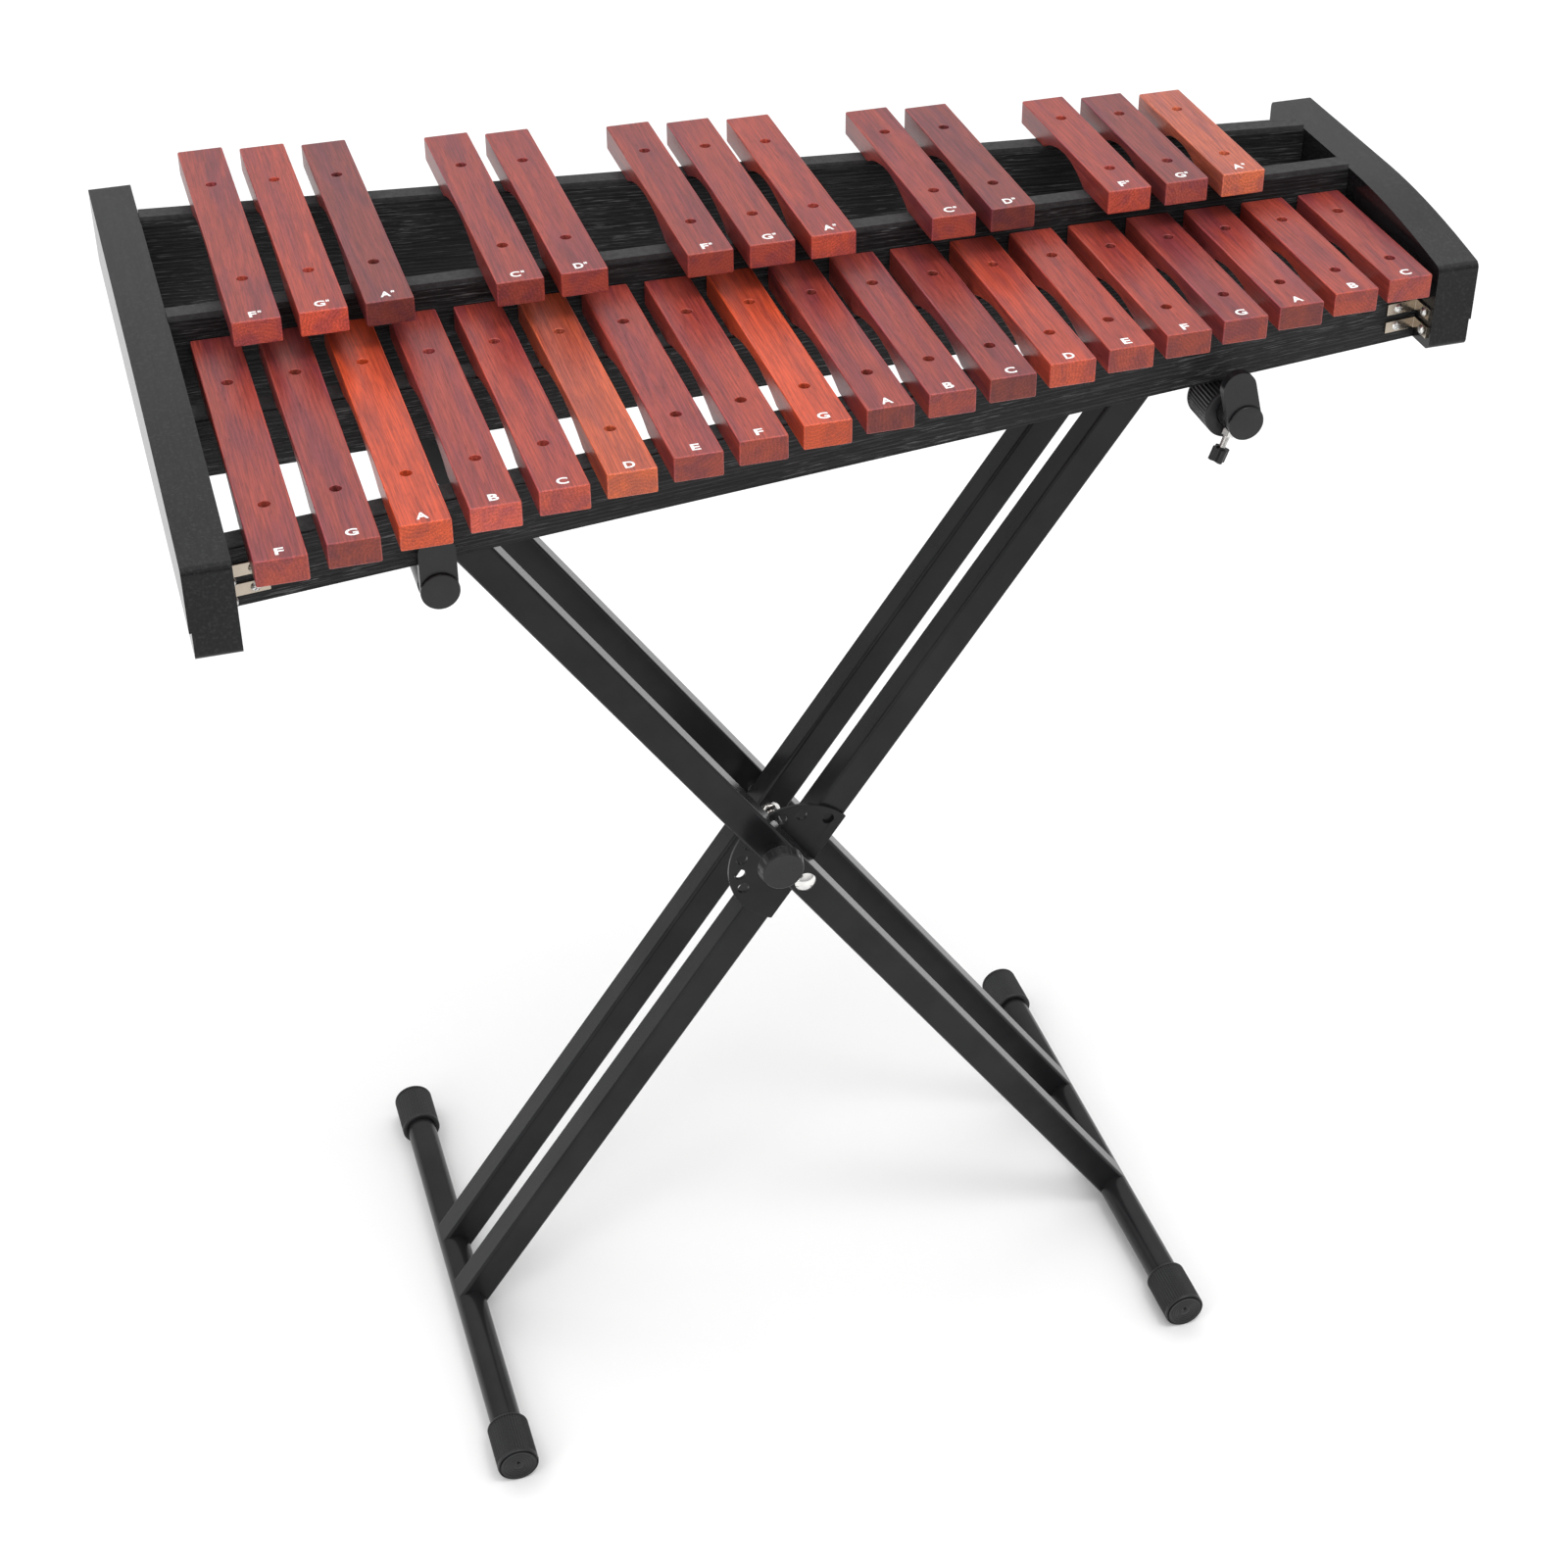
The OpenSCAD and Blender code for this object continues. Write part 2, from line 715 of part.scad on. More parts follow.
thumb_shank = 27;
thumb_knob_h = 9.5;
thumb_knob_r = 4.6;
thumb_lobe_r = 2.1;
thumb_lobe_at = 4.1;

// A zinc screw with a lobed plastic head. Its tip stops just short of the rod.
module thumb_screw(x, y, lean) {
    tip = rod_r + rest_gap;
    at_thumb(x, y, lean) {
        color([0.75, 0.75, 0.75]) translate([0, 0, tip])
            cylinder(r = thumb_r, h = thumb_shank - tip, $fn = 32);
        color([0.08, 0.08, 0.08]) translate([0, 0, thumb_shank]) {
            cylinder(r = thumb_knob_r, h = thumb_knob_h, $fn = 32);
            for (a = [0 : 90 : 270])
                rotate(a + 45) translate([thumb_lobe_at, 0, 0])
                    cylinder(r = thumb_lobe_r, h = thumb_knob_h, $fn = 24);
        }
    }
}

module left_stop_rod() { stop_rod(left_support_x, left_stop_back); }
module right_stop_rod() { stop_rod(right_support_x, right_stop_back); }
module left_stop_pad() { stop_pad(left_support_x, left_stop_back, 0); }
module right_stop_pad() { stop_pad(right_support_x, right_stop_back, right_paddle_lean); }
module left_thumb_screw() { thumb_screw(left_support_x, left_thumb_y, left_thumb_lean); }
module right_thumb_screw() { thumb_screw(right_support_x, right_thumb_y, right_thumb_lean); }

// ---------- one node at a time ----------

for (i = [0 : NATURALS - 1])
    natural_bar(i);
for (i = [0 : len(SHARP_SLOTS) - 1])
    sharp_bar(i);
left_end_board();
right_end_board();
natural_front_rail();
natural_rear_rail();
sharp_front_rail();
sharp_rear_rail();
felt_strips();
bar_pins();
pin_sleeves();
corner_brackets();
bracket_screws();
outer_arms();
outer_crossbars();
outer_rubber_sleeves();
inner_arms();
inner_crossbars();
inner_rubber_sleeves();
pivot_bolt();
lock_disc();
lock_barrel();
lock_plunger();
lock_knob();
left_stop_rod();
left_stop_pad();
left_thumb_screw();
right_stop_rod();
right_stop_pad();
right_thumb_screw();
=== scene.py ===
"""A thirty-two note xylophone on its folding X-stand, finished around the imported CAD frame.

Metres, in the CAD's own frame: +X towards the high notes, -Y towards the player, +Z up.
"""

import math
import random

import bmesh
import bpy
from mathutils import Matrix, Vector


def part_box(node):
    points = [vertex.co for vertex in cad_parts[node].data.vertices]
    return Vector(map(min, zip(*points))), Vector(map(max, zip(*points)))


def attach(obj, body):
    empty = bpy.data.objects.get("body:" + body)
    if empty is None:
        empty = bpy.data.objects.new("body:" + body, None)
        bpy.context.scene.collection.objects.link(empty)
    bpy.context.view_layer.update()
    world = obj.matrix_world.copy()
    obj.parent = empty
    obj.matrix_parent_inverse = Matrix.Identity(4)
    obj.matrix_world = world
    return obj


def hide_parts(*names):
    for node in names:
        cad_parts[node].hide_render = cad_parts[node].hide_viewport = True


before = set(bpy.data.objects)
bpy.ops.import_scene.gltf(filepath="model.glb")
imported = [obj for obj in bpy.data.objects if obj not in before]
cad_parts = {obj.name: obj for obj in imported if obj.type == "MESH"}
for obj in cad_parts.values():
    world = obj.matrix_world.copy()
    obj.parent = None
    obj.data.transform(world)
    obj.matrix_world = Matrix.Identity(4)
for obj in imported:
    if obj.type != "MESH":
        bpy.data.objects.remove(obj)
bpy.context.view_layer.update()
MM = 0.001

# ---------------------------------------------------------------- materials


class Graph:
    """Builds one procedural material. Numbers given to the constructor go on the shader's own sockets."""

    def __init__(self, name, **sockets):
        self.material = bpy.data.materials.new(name)
        self.material.use_nodes = True
        self.tree = self.material.node_tree
        self.tree.nodes.clear()
        self.shader = self.node("BsdfPrincipled")
        out = self.node("OutputMaterial")
        self.tree.links.new(self.shader.outputs[0], out.inputs[0])
        for key, value in sockets.items():
            self.set(key.replace("_", " "), value)

    def put(self, socket, value):
        if isinstance(value, bpy.types.NodeSocket):
            self.tree.links.new(value, socket)
        elif isinstance(value, tuple) and socket.type == "RGBA":
            socket.default_value = (*value, 1)
        else:
            socket.default_value = value

    def set(self, socket, value):
        self.put(self.shader.inputs[socket], value)

    def node(self, kind, inputs=(), **props):
        made = self.tree.nodes.new("ShaderNode" + kind)
        for key, value in props.items():
            setattr(made, key, value)
        for key, value in dict(inputs).items():
            self.put(made.inputs[key], value)
        return made

    def coords(self, kind="Object"):
        return self.node("TexCoord").outputs[kind]

    def attribute(self, name, output="Vector"):
        return self.node("Attribute", attribute_name=name).outputs[output]

    def stretch(self, vector, scale, turn=0.0):
        inputs = {"Vector": vector, "Scale": scale, "Rotation": (0, 0, turn)}
        return self.node("Mapping", inputs).outputs[0]

    def noise(self, vector, scale, detail=3.0, roughness=0.5):
        inputs = {"Vector": vector, "Scale": scale, "Detail": detail, "Roughness": roughness}
        return self.node("TexNoise", inputs).outputs[0]

    def math(self, operation, a, b=0.0, clamp=False):
        return self.node("Math", {0: a, 1: b}, operation=operation, use_clamp=clamp).outputs[0]

    def fit(self, value, low, high, to_low=0.0, to_high=1.0):
        inputs = {0: value, 1: low, 2: high, 3: to_low, 4: to_high}
        return self.node("MapRange", inputs, interpolation_type="SMOOTHSTEP").outputs[0]

    def mix(self, factor, a, b, blend="MIX"):
        inputs = {0: factor, 6: a, 7: b}
        return self.node("Mix", inputs, data_type="RGBA", blend_type=blend).outputs[2]

    def bump(self, height, distance, strength=1.0):
        inputs = {"Height": height, "Distance": distance, "Strength": strength}
        self.set("Normal", self.node("Bump", inputs).outputs[0])


def wood_material():
    """Lacquered padauk. The mesh carries each bar's own grain coordinates and tone, and marks the rounded
    edges that get a painted highlight.
    """
    g = Graph("padauk", Roughness=0.34, Specular_IOR_Level=0.42)
    grain = g.attribute("grain")
    tone = g.attribute("tone", "Color")
    axes = g.node("SeparateXYZ", {0: grain})
    radius = g.math("POWER", g.math("ADD", g.math("POWER", axes.outputs[0], 2.0),
                                    g.math("POWER", axes.outputs[2], 2.0)), 0.5)
    wander = g.noise(g.stretch(grain, (1, 0.09, 1)), 85, 2.5)
    radius = g.math("ADD", radius, g.math("MULTIPLY", wander, 0.0045))
    rings = g.math("SINE", g.math("MULTIPLY", radius, 2 * math.pi / 0.0024))
    rings = g.fit(rings, -0.9, 1.0)
    fibre = g.noise(g.stretch(grain, (1, 0.022, 1)), 1100, 4, 0.65)
    figure = g.noise(g.stretch(grain, (1, 0.11, 1)), 75, 3, 0.6)
    pores = g.fit(g.noise(g.stretch(grain, (1, 0.045, 1)), 2100, 2, 0.5), 0.60, 0.72)
    end = g.math("POWER", g.math("ABSOLUTE", g.node("SeparateXYZ", {0: g.coords("Normal")}).outputs[1]), 4.0)

    colour = g.mix(g.fit(figure, 0.38, 0.66), g.mix(1.0, tone, (1.14, 1.10, 0.88), "MULTIPLY"),
                   g.mix(1.0, tone, (0.78, 0.82, 1.02), "MULTIPLY"))
    ring_strength = g.math("ADD", 0.2, g.math("MULTIPLY", end, 0.05))
    colour = g.mix(g.math("MULTIPLY", rings, ring_strength), colour,
                   g.mix(1.0, colour, (0.42, 0.36, 0.40), "MULTIPLY"))
    colour = g.mix(g.fit(fibre, 0.38, 0.62, 0.6, 0.0), colour,
                   g.mix(1.0, colour, (0.40, 0.34, 0.40), "MULTIPLY"))
    colour = g.mix(g.math("MULTIPLY", pores, 0.6), colour,
                   g.mix(1.0, colour, (0.30, 0.25, 0.28), "MULTIPLY"))
    lift = g.math("MULTIPLY", g.attribute("tone", "Alpha"), 2.1)
    cut = g.node("CombineXYZ", {0: lift, 1: g.math("MULTIPLY", lift, 1.1),
                                2: g.math("MULTIPLY", lift, 0.92)}).outputs[0]
    colour = g.mix(end, colour, g.mix(1.0, colour, cut, "MULTIPLY"))
    # Painted highlight: the rounded edges are lifted towards bluish white, like the light's sheen off them
    painted_edge_highlight = g.math("MULTIPLY", g.attribute("edge", "Fac"), g.fit(figure, 0.3, 0.6, 0.35, 0.8))
    colour = g.mix(painted_edge_highlight, colour, g.mix(1.0, colour, (1.7, 1.9, 2.0), "MULTIPLY"))
    g.set("Base Color", colour)
    g.set("Roughness", g.math("ADD", g.math("MULTIPLY", fibre, 0.16),
                              g.math("ADD", 0.26, g.math("MULTIPLY", end, 0.16))))
    height = g.math("SUBTRACT", g.math("MULTIPLY", fibre, 0.5), pores)
    g.bump(height, 0.00006, 0.6)
    return g.material


def stained_material():
    """Black-stained wood with open grain, for boards that run along X."""
    g = Graph("black_open_grain", Roughness=0.5, Specular_IOR_Level=0.2)
    where = g.coords()
    fleck = g.noise(g.stretch(where, (48, 80, 1250)), 1.0, 4, 0.6)
    cluster = g.noise(g.stretch(where, (9, 9, 70)), 1.0, 3, 0.6)
    long_grain = g.noise(g.stretch(where, (5, 5, 330)), 1.0, 3, 0.6)
    lines = g.fit(fleck, 0.55, 0.67)
    lines = g.math("MULTIPLY", lines, g.fit(cluster, 0.36, 0.62, 0.25, 1.0))
    colour = g.mix(g.fit(long_grain, 0.35, 0.65), (0.007, 0.007, 0.008), (0.014, 0.014, 0.015))
    across = g.node("SeparateXYZ", {0: where}).outputs[2]
    sway = g.noise(g.stretch(where, (7, 7, 60)), 1.0, 2, 0.5)
    ribs = g.math("SINE", g.math("ADD", g.math("MULTIPLY", across, 2 * math.pi / 0.0028),
                                 g.math("MULTIPLY", sway, 5.0)))
    ribs = g.math("MULTIPLY", g.fit(ribs, 0.3, 1.0), g.fit(long_grain, 0.3, 0.6, 0.15, 0.7))
    colour = g.mix(ribs, colour, (0.042, 0.042, 0.044))
    colour = g.mix(g.math("MULTIPLY", lines, 0.9), colour, (0.14, 0.142, 0.146))
    g.set("Base Color", colour)
    g.set("Roughness", g.fit(fleck, 0.3, 0.7, 0.42, 0.62))
    g.bump(g.math("SUBTRACT", long_grain, g.fit(fleck, 0.45, 0.62)), 0.00022, 0.7)
    return g.material


def board_material(name, coat_ior, coat_roughness):
    """The end boards: black satin paint over wood, with a trace of the grain along Y."""
    g = Graph(name, Roughness=0.5, Specular_IOR_Level=0.0, Coat_Weight=1.0, Coat_IOR=coat_ior,
              Coat_Roughness=coat_roughness)
    where = g.coords()
    grain = g.noise(g.stretch(where, (620, 22, 620)), 1.0, 4, 0.6)
    speck = g.noise(where, 1500, 2, 0.5)
    patch = g.noise(where, 14, 3, 0.5)
    mottle = g.noise(where, 420, 3, 0.6)
    colour = g.mix(g.fit(grain, 0.35, 0.7), (0.005, 0.005, 0.006), (0.010, 0.010, 0.011))
    colour = g.mix(g.fit(patch, 0.35, 0.7, 0.0, 0.35), colour, (0.016, 0.016, 0.017))
    colour = g.mix(g.fit(mottle, 0.50, 0.66, 0.0, 0.6), colour, (0.024, 0.024, 0.025))
    g.set("Base Color", colour)
    g.set("Roughness", g.math("ADD", g.fit(patch, 0.3, 0.7, 0.44, 0.54), g.math("MULTIPLY", speck, 0.06)))
    g.bump(g.math("ADD", grain, g.math("ADD", mottle, g.math("MULTIPLY", speck, 0.8))), 0.00012, 0.7)
    return g.material


def paint_material():
    """Satin black paint on steel tube, with a slight orange peel."""
    g = Graph("black_tube_paint", Roughness=0.4, Specular_IOR_Level=0.0, Coat_Weight=1.0, Coat_IOR=1.27,
              Coat_Roughness=0.24)
    where = g.coords()
    peel = g.noise(where, 1300, 2, 0.5)
    cloud = g.noise(where, 18, 3, 0.55)
    scuff = g.fit(g.noise(where, 210, 5, 0.75), 0.66, 0.76)
    colour = g.mix(g.fit(cloud, 0.3, 0.7), (0.011, 0.011, 0.012), (0.017, 0.017, 0.018))
    colour = g.mix(g.math("MULTIPLY", scuff, 0.10), colour, (0.075, 0.075, 0.078))
    g.set("Base Color", colour)
    g.set("Roughness", g.math("ADD", g.fit(cloud, 0.3, 0.7, 0.36, 0.46), g.math("MULTIPLY", scuff, 0.08)))
    g.bump(peel, 0.00005, 0.6)
    return g.material


def rubber_material(name, base, rough):
    g = Graph(name, Roughness=rough, Specular_IOR_Level=0.4)
    where = g.coords()
    dust = g.noise(where, 60, 4, 0.65)
    matte = g.noise(where, 2600, 2, 0.5)
    light = tuple(1.7 * c for c in base)
    g.set("Base Color", g.mix(g.fit(dust, 0.42, 0.75), base, light))
    g.set("Roughness", g.fit(dust, 0.3, 0.7, rough - 0.06, rough + 0.08))
    g.bump(matte, 0.00004, 0.6)
    return g.material


def felt_material():
    """The grey felt strips along the rails' tops."""
    g = Graph("grey_felt", Roughness=0.85, Specular_IOR_Level=0.3)
    where = g.coords()
    fibres = g.noise(g.stretch(where, (900, 2600, 2600)), 1.0, 4, 0.7)
    wool = g.noise(where, 240, 4, 0.6)
    g.set("Base Color", g.mix(g.fit(g.math("MULTIPLY", g.math("ADD", fibres, wool), 0.5), 0.35, 0.65),
                              (0.030, 0.030, 0.031), (0.056, 0.056, 0.058)))
    g.bump(fibres, 0.00022, 0.8)
    return g.material


def metal_material(name, base, rough, brushed=0.5, even=0.25):
    g = Graph(name, Metallic=1.0, Roughness=rough)
    where = g.coords()
    cloud = g.noise(where, 160, 4, 0.6)
    lines = g.noise(g.stretch(where, (400, 400, 5000)), 1.0, 2, 0.5)
    dull = tuple((1 - 0.8 * even) * c for c in base)
    g.set("Base Color", g.mix(g.fit(cloud, 0.3, 0.7), base, dull))
    g.set("Roughness", g.math("ADD", g.fit(cloud, 0.3, 0.7, rough * (1 - even), rough * (1 + even)),
                              g.math("MULTIPLY", lines, 0.08 * brushed)))
    g.bump(lines, 0.00002, brushed)
    return g.material


def ink_material():
    """White screen-printed ink for the note letters."""
    g = Graph("white_ink", Roughness=0.5, Specular_IOR_Level=0.4)
    where = g.coords()
    thin = g.fit(g.noise(g.stretch(where, (1, 0.2, 1)), 1500, 3, 0.6), 0.62, 0.74)
    g.set("Base Color", g.mix(g.math("MULTIPLY", thin, 0.35), (0.86, 0.86, 0.85), (0.62, 0.42, 0.40)))
    return g.material


WOOD = wood_material()
STAIN = stained_material()
BOARD = board_material("black_satin_wood", 1.3, 0.2)
# The same paint, rubbed shiny on the boards' rounded edges
BOARD_EDGE = board_material("black_rubbed_edge", 2.1, 0.2)
PAINT = paint_material()
RUBBER = rubber_material("ribbed_rubber", (0.009, 0.009, 0.010), 0.42)
PLASTIC = rubber_material("black_plastic", (0.007, 0.007, 0.008), 0.32)
FELT = felt_material()
CHROME = metal_material("chrome", (0.86, 0.85, 0.83), 0.16, 0.1)
ZINC = metal_material("zinc", (0.74, 0.73, 0.71), 0.26)
NICKEL = metal_material("nickel", (0.45, 0.39, 0.32), 0.24, 0.05, 0.08)
DARK_STEEL = metal_material("dark_steel", (0.10, 0.09, 0.09), 0.5)
INK = ink_material()

# ---------------------------------------------------------------- mesh helpers


def mesh_object(name, bm, material, body, nodes=(), matrix=None, sharp=50):
    """Turns bm into a shaded piece that rides on a body and may stand for CAD nodes."""
    bmesh.ops.recalc_face_normals(bm, faces=bm.faces)
    mesh = bpy.data.meshes.new(name)
    bm.to_mesh(mesh)
    bm.free()
    if matrix is not None:
        mesh.transform(matrix)
        if matrix.determinant() < 0:
            mesh.flip_normals()
    mesh.materials.append(material)
    mesh.shade_smooth()
    mesh.set_sharp_from_angle(angle=math.radians(sharp))
    piece = bpy.data.objects.new(name, mesh)
    bpy.context.scene.collection.objects.link(piece)
    weighted = piece.modifiers.new("normals", "WEIGHTED_NORMAL")
    weighted.keep_sharp = True
    weighted.weight = 90
    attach(piece, body)
    if nodes:
        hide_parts(*nodes)
    return piece


def lathe(profile, segments=64, wave=None, closed=False):
    """A solid turned about Z. A profile point is (radius, height) or (radius, height, dx, dy) in mm."""
    bm = bmesh.new()
    rings = []
    for point in profile:
        r, z, dx, dy = (*point, 0, 0)[:4]
        if r == 0:
            rings.append([bm.verts.new((dx * MM, dy * MM, z * MM))])
            continue
        ring = []
        for k in range(segments):
            a = 2 * math.pi * k / segments
            q = r + (wave(a, r, z) if wave else 0)
            ring.append(bm.verts.new(((dx + q * math.cos(a)) * MM, (dy + q * math.sin(a)) * MM, z * MM)))
        rings.append(ring)
    pairs = list(zip(rings, rings[1:] + rings[:1] if closed else rings[1:]))
    for low, high in pairs:
        for k in range(segments):
            n = (k + 1) % segments
            if len(low) == 1:
                bm.faces.new((low[0], high[n], high[k]))
            elif len(high) == 1:
                bm.faces.new((low[k], low[n], high[0]))
            else:
                bm.faces.new((low[k], low[n], high[n], high[k]))
    return bm


def slab(outline, low, high, round_over=0.0, steps=2):
    """A flat plate with this outline in mm, from z = low to z = high, its edges rounded."""
    bm = bmesh.new()
    bottom = [bm.verts.new((x * MM, y * MM, low * MM)) for x, y in outline]
    top = [bm.verts.new((x * MM, y * MM, high * MM)) for x, y in outline]
    bm.faces.new(bottom[::-1])
    bm.faces.new(top)
    for k in range(len(outline)):
        n = (k + 1) % len(outline)
        bm.faces.new((bottom[k], bottom[n], top[n], top[k]))
    if round_over:
        edges = [e for e in bm.edges if e.calc_face_angle(0) > math.radians(40)]
        bmesh.ops.bevel(bm, geom=edges, offset=round_over * MM, segments=steps, profile=0.5,
                        affect="EDGES", clamp_overlap=True)
    return bm


def joined(*parts):
    """One mesh from several (bm, matrix) pairs."""
    whole = bmesh.new()
    for bm, matrix in parts:
        spare = bpy.data.meshes.new("spare")
        bmesh.ops.recalc_face_normals(bm, faces=bm.faces)
        bm.to_mesh(spare)
        bm.free()
        spare.transform(matrix)
        whole.from_mesh(spare)
        bpy.data.meshes.remove(spare)
    return whole


def at(x, y, z):
    return Matrix.Translation((x, y, z))


def turn(axis, degrees):
    return Matrix.Rotation(math.radians(degrees), 4, axis)


HERE = Matrix.Identity(4)
# Local +Z to the player's side (-Y), and to the rear
TO_FRONT = turn("X", 90)
TO_REAR = turn("X", -90)


def paint_node(node, material, soft=0.0, angle=35, edge=None):
    """A CAD node keeps its shape and gets this material, with its sharp edges eased by soft mm.

    The eased edges take the edge material, where there is one.
    """
    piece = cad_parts[node]
    piece.data.materials.clear()
    piece.data.materials.append(material)
    if soft:
        weld = piece.modifiers.new("weld", "WELD")
        weld.merge_threshold = 0.00001
        bevel = piece.modifiers.new("ease", "BEVEL")
        bevel.width = soft * MM
        bevel.segments = 4 if edge else 2
        bevel.limit_method = "ANGLE"
        bevel.angle_limit = math.radians(angle)
        bevel.use_clamp_overlap = True
        bevel.miter_outer = "MITER_ARC"
        if edge:
            piece.data.materials.append(edge)
            bevel.material = 1
        piece.modifiers.new("normals", "WEIGHTED_NORMAL").keep_sharp = True


# ---------------------------------------------------------------- the bars

TONES = {
    "a": (0.36, 0.068, 0.060),
    "b": (0.32, 0.062, 0.057),
    "c": (0.40, 0.072, 0.056),
    "d": (0.48, 0.082, 0.052),
    "e": (0.62, 0.098, 0.042),
    "f": (0.56, 0.125, 0.060),
    "m": (0.24, 0.056, 0.058),
    "l": (0.52, 0.150, 0.100),
}
ROWS = {
    "natural": ("abeacfaceabbdccbaca", "FGABCDEFGABCDEFGABC"),
    "sharp": ("bcmbabbcbmaml", "FGACDFGACDFGA"),
}
# How light each bar's end grain is beside its top, as read from the photograph
END_LIGHT = {
    "natural": (105, 72, 96, 160, 118, 108, 78, 78, 88, 60, 95, 62, 100, 88, 74, 86, 60, 95, 112),
    "sharp": (150, 165, 72, 82, 105, 98, 118, 135, 112, 70, 140, 150, 135),
}
END_SCALE = {"natural": 0.0056, "sharp": 0.0064}
# What turns a tone into the wood's base colour under this light
TONE_SCALE = (0.90, 0.76, 0.76)
NODAL = 0.224
HOLE_R = 3.75
ARCH_SHARE = 0.47
# The arch's depth in mm under a row's longest and shortest bar, and those bars' lengths in metres
ARCHES = {"natural": (9.5, 7.5), "sharp": (11.5, 10.5)}
BAR_LENGTHS = {"natural": (0.293, 0.146), "sharp": (0.2835, 0.1525)}
RIM = 32
# A vertex whose normal leans further than this from every axis is on a rounded edge
EDGE_NORMAL = 0.93
# How much wider a hole is than HOLE_R at each depth below the face, in mm
HOLE_RIM = ((0.55, 0.0), (0.16, 0.16), (0.0, 0.55))
ARCH_STEPS = 18
BAR_ROUND = 1.15
# The flats under a bar's ends are larger than this, in square metres
SMALLEST_FLAT = 0.0001


def hole_ring(bm, r, y, z):
    angles = [2 * math.pi * k / RIM for k in range(RIM)]
    return [bm.verts.new((r * math.cos(a), y + r * math.sin(a), z)) for a in angles]


def pierce(bm, face, centres):
    """Replaces a flat face by two with round holes, and returns each hole's ring and its height."""
    loop = list(face.verts)
    first = min(loop, key=lambda v: v.co.x + v.co.y)
    last = max(loop, key=lambda v: v.co.x + v.co.y)
    z = min(loop, key=lambda v: (round(v.co.y, 6), round(v.co.x, 6))).co.z
    i, j = loop.index(first), loop.index(last)
    one = loop[i:] + loop[:i]
    one = one[: one.index(last) + 1]
    two = loop[j:] + loop[:j]
    two = two[: two.index(first) + 1]
    one_is_left = sum(v.co.x for v in one) / len(one) < sum(v.co.x for v in two) / len(two)
    left, right = (one, two[::-1]) if one_is_left else (two[::-1], one)
    rings = [hole_ring(bm, (HOLE_R + HOLE_RIM[0][0]) * MM, y, z) for y in sorted(centres, reverse=True)]
    down, up = [], []
    for n, ring in enumerate(rings):
        enter = RIM // 8 if n == 0 else RIM // 4
        leave = 5 * RIM // 8 if n == len(rings) - 1 else 3 * RIM // 4
        down += [ring[k] for k in range(enter, leave + 1)]
        up += [ring[k % RIM] for k in range(enter, leave - RIM - 1, -1)]
    bm.faces.new(left + down)
    bm.faces.new(right + up)
    bm.faces.remove(face)
    return rings


def bar_bmesh(length, thickness, width, arch):
    """A tone bar along +Y in metres, arched underneath, its edges rounded, with two holes."""
    bm = bmesh.new()
    half, chord = width / 2, ARCH_SHARE * length
    radius = (chord * chord / 4 + arch * arch) / (2 * arch)
    start = (length - chord) / 2
    profile = [(0, thickness), (0, 0)]
    for k in range(ARCH_STEPS + 1):
        y = start + chord * k / ARCH_STEPS
        drop = y - length / 2
        profile.append((y, max(0.0, math.sqrt(radius * radius - drop * drop) - radius + arch)))
    profile += [(length, 0), (length, thickness)]
    left = [bm.verts.new((-half, y, z)) for y, z in profile]
    right = [bm.verts.new((half, y, z)) for y, z in profile]
    bm.faces.new(left)
    bm.faces.new(right[::-1])
    for k in range(len(profile)):
        n = (k + 1) % len(profile)
        bm.faces.new((left[k], right[k], right[n], left[n]))
    bmesh.ops.recalc_face_normals(bm, faces=bm.faces)
    edges = [e for e in bm.edges if e.calc_face_angle(0) > math.radians(40)]
    bmesh.ops.bevel(bm, geom=edges, offset=BAR_ROUND * MM, segments=3, profile=0.5, affect="EDGES",
                    clamp_overlap=True)
    bm.faces.ensure_lookup_table()
    near, far = NODAL * length, (1 - NODAL) * length
    top = max((f for f in bm.faces if f.normal.z > 0.99), key=lambda f: f.calc_area())
    flats = [f for f in bm.faces if f.normal.z < -0.9999 and f.calc_area() > SMALLEST_FLAT]
    front = min(flats, key=lambda f: f.calc_center_median().y)
    rear = max(flats, key=lambda f: f.calc_center_median().y)
    upper = pierce(bm, top, (near, far))
    lower = [pierce(bm, rear, (far,))[0], pierce(bm, front, (near,))[0]]
    for ring_top, ring_low, y in zip(upper, lower, (far, near)):
        rings = [ring_top]
        rows = [(r, thickness - d * MM) for r, d in HOLE_RIM[1:]] + [(r, d * MM) for r, d in HOLE_RIM[:0:-1]]
        for extra, z in rows:
            rings.append(hole_ring(bm, (HOLE_R + extra) * MM, y, z))
        rings.append(ring_low)
        for a, b in zip(rings, rings[1:]):
            for k in range(RIM):
                n = (k + 1) % RIM
                bm.faces.new((a[k], a[n], b[n], b[k]))
    return bm


